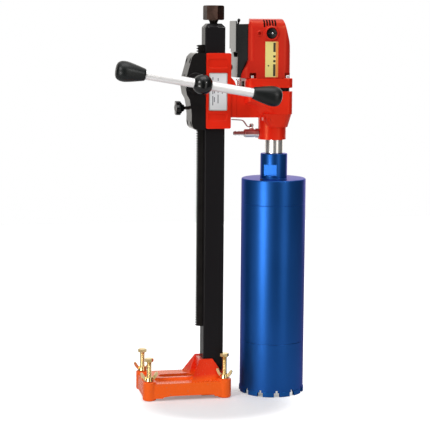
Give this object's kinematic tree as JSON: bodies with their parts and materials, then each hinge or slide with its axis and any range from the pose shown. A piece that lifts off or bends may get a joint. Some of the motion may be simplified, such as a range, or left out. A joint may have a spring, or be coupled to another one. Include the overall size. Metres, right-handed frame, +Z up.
{
  "type": "core drill rig",
  "caption": "Column-mounted core drill rig with levelling base, rack-fed carriage with cross handle, geared motor, water valve and a thin-wall diamond core bit.",
  "frame": {"origin": "the column's axis at the underside of the base, on the floor", "axes": "+Z up along the column, +X from the column towards the drill, +Y away from the handle side"},
  "size_m": [0.4958, 0.236, 0.9625],
  "materials": {
    "base_paint": "gloss orange-red enamel",
    "red_paint": "gloss red enamel on cast metal",
    "motor_cover": "moulded red nylon",
    "black_paint": "semi-gloss black enamel",
    "black_plastic": "polished black plastic",
    "dark_steel": "blackened steel",
    "bright_steel": "ground bright steel",
    "chrome": "plated brass",
    "yellow_zinc": "yellow passivated zinc",
    "blue_paint": "metallic blue lacquer on steel tube",
    "bronze": "sintered bronze",
    "white_plate": "printed foil, left blank",
    "yellow_plate": "printed foil, left blank",
    "nylon": "natural nylon",
    "copper": "enamelled copper windings on iron"
  },
  "bodies": {
    "stand": {"base_casting": "base_paint", "column_tube": "black_paint", "column_cap": "black_paint", "toothed_rack": "dark_steel"},
    "jack_screw": {"jack_screw": "dark_steel"},
    "levelling_screw_1": {"levelling_screw_1": "yellow_zinc"},
    "wing_nut_1": {"wing_nut_1": "yellow_zinc"},
    "levelling_screw_2": {"levelling_screw_2": "yellow_zinc"},
    "wing_nut_2": {"wing_nut_2": "yellow_zinc"},
    "levelling_screw_3": {"levelling_screw_3": "yellow_zinc"},
    "wing_nut_3": {"wing_nut_3": "yellow_zinc"},
    "levelling_screw_4": {"levelling_screw_4": "yellow_zinc"},
    "wing_nut_4": {"wing_nut_4": "yellow_zinc"},
    "carriage": {"carriage_casting": "red_paint", "gear_housing": "black_paint", "guide_liner_lower": "nylon", "guide_liner_upper": "nylon", "housing_screw_1": "dark_steel", "housing_screw_2": "dark_steel", "housing_screw_3": "dark_steel", "housing_screw_4": "dark_steel", "feed_bush_front": "bronze", "feed_bush_rear": "bronze", "instruction_plate": "white_plate", "gearbox_housing": "red_paint", "gear_plate": "black_paint", "motor_flange": "red_paint", "motor_housing": "motor_cover", "brush_cap_front": "black_plastic", "brush_cap_rear": "black_plastic", "data_plate": "yellow_plate", "motor_screw_1": "bright_steel", "motor_screw_2": "bright_steel", "motor_screw_3": "bright_steel", "motor_screw_4": "bright_steel", "arm_bolt": "bright_steel", "switch_box": "black_plastic", "switch_cover": "black_plastic", "cable_gland": "black_plastic", "stator": "copper", "armature_bearing_lower": "bright_steel", "armature_bearing_upper": "bright_steel", "water_seal": "bright_steel", "spindle_bearing_lower": "bright_steel", "spindle_bearing_upper": "bright_steel", "valve_body": "chrome"},
    "feed_handle": {"pinion_shaft": "bright_steel", "handle_hub": "black_plastic", "handle_bar": "bright_steel", "grip_left": "black_plastic", "grip_right": "black_plastic"},
    "lock_knob": {"lock_knob": "black_plastic"},
    "toggle_lever": {"toggle_lever": "black_plastic"},
    "valve_lever": {"valve_lever": "chrome"},
    "spindle": {"drill_spindle": "bright_steel", "spindle_wheel": "bright_steel", "bit_barrel": "blue_paint", "cutting_crown": "blue_paint"},
    "intermediate_gear": {"intermediate_gear": "bright_steel"},
    "armature": {"armature": "dark_steel"}
  },
  "joints": [
    {"name": "jack_screw_travel", "type": "slide", "parent": "stand", "child": "jack_screw", "axis": [0, 0, 1], "range_m": [0, 0.08]},
    {"name": "levelling_screw_1_travel", "type": "slide", "parent": "stand", "child": "levelling_screw_1", "axis": [0, 0, 1], "range_m": [0, 0.02]},
    {"name": "wing_nut_1_turn", "type": "hinge", "parent": "stand", "child": "wing_nut_1", "pos_m": [-0.1655, -0.05, 0.0473], "axis": [0, 0, 1], "range_deg": [-180, 180]},
    {"name": "levelling_screw_2_travel", "type": "slide", "parent": "stand", "child": "levelling_screw_2", "axis": [0, 0, 1], "range_m": [0, 0.02]},
    {"name": "wing_nut_2_turn", "type": "hinge", "parent": "stand", "child": "wing_nut_2", "pos_m": [-0.1655, 0.06, 0.0473], "axis": [0, 0, 1], "range_deg": [-180, 180]},
    {"name": "levelling_screw_3_travel", "type": "slide", "parent": "stand", "child": "levelling_screw_3", "axis": [0, 0, 1], "range_m": [0, 0.02]},
    {"name": "wing_nut_3_turn", "type": "hinge", "parent": "stand", "child": "wing_nut_3", "pos_m": [0.023, -0.05, 0.0473], "axis": [0, 0, 1], "range_deg": [0, 60]},
    {"name": "levelling_screw_4_travel", "type": "slide", "parent": "stand", "child": "levelling_screw_4", "axis": [0, 0, 1], "range_m": [0, 0.02]},
    {"name": "wing_nut_4_turn", "type": "hinge", "parent": "stand", "child": "wing_nut_4", "pos_m": [0.023, 0.06, 0.0473], "axis": [0, 0, 1], "range_deg": [-60, 0]},
    {"name": "carriage_slide", "type": "slide", "parent": "stand", "child": "carriage", "axis": [0, 0, 1], "range_m": [-0.48, 0.03]},
    {"name": "feed_turn", "type": "hinge", "parent": "carriage", "child": "feed_handle", "pos_m": [-0.052, 0, 0.776], "axis": [0, 1, 0], "range_deg": [-2340, 240]},
    {"name": "lock_knob_turn", "type": "hinge", "parent": "carriage", "child": "lock_knob", "pos_m": [-0.088, 0, 0.714], "axis": [-1, 0, 0], "range_deg": [0, 360]},
    {"name": "toggle_throw", "type": "hinge", "parent": "carriage", "child": "toggle_lever", "pos_m": [0.0605, 0, 0.913], "axis": [0, 1, 0], "range_deg": [-20, 0]},
    {"name": "valve_turn", "type": "hinge", "parent": "carriage", "child": "valve_lever", "pos_m": [0.0975, 0, 0.651], "axis": [0, 0, 1], "range_deg": [0, 90]},
    {"name": "spindle_spin", "type": "hinge", "parent": "carriage", "child": "spindle", "pos_m": [0.1553, 0, 0.6], "axis": [0, 0, 1], "continuous": true},
    {"name": "intermediate_spin", "type": "hinge", "parent": "carriage", "child": "intermediate_gear", "pos_m": [0.12379, 0.01741, 0.704], "axis": [0, 0, 1], "continuous": true},
    {"name": "armature_spin", "type": "hinge", "parent": "carriage", "child": "armature", "pos_m": [0.13805, 0, 0.737], "axis": [0, 0, 1], "continuous": true}
  ],
  "couplings": [
    {"joint": "feed_turn", "follows": "carriage_slide", "rad_per_m": 83.333},
    {"joint": "intermediate_spin", "follows": "spindle_spin", "ratio": -3},
    {"joint": "armature_spin", "follows": "spindle_spin", "ratio": 8.25}
  ]
}
